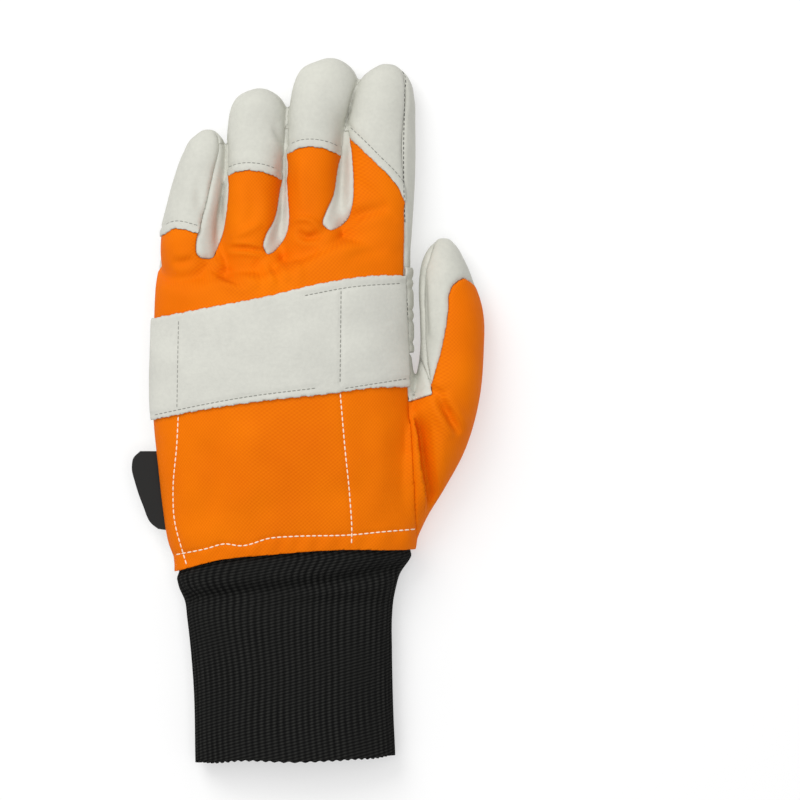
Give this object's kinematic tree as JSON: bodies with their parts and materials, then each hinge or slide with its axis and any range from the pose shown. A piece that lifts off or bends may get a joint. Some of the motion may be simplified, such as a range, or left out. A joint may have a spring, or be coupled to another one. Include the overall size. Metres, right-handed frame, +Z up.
{
  "type": "chainsaw glove",
  "caption": "Left-hand protective work glove, orange fabric back, pale leather palm, fingertips and knuckle band, black knitted wrist cuff, lying palm down.",
  "frame": {"origin": "middle of the glove's bounding box, on the surface it lies on", "axes": "+Y from the cuff to the fingertips, +Z up from the palm to the back, +X towards the thumb"},
  "size_m": [0.1462, 0.2926, 0.0376],
  "materials": {
    "orange_fabric": "woven, slight sheen",
    "pale_leather": "smooth matt grain",
    "black_knit": "matt rib knit",
    "black_tape": "woven tape, slight sheen"
  },
  "bodies": {
    "root": {"back_panel": "orange_fabric", "knuckle_strap": "pale_leather", "little_cap": "pale_leather", "ring_cap": "pale_leather", "middle_cap": "pale_leather", "index_cap": "pale_leather", "palm_panel": "pale_leather", "ring_front": "pale_leather", "middle_front": "pale_leather", "little_ring_fourchette": "pale_leather", "ring_middle_fourchette": "pale_leather", "middle_index_fourchette": "pale_leather", "palm_patch": "pale_leather", "thumb_back": "orange_fabric", "thumb_front": "pale_leather", "thumb_cap": "pale_leather", "web_gusset": "pale_leather", "knit_cuff": "black_knit", "side_label": "black_tape"}
  },
  "joints": []
}
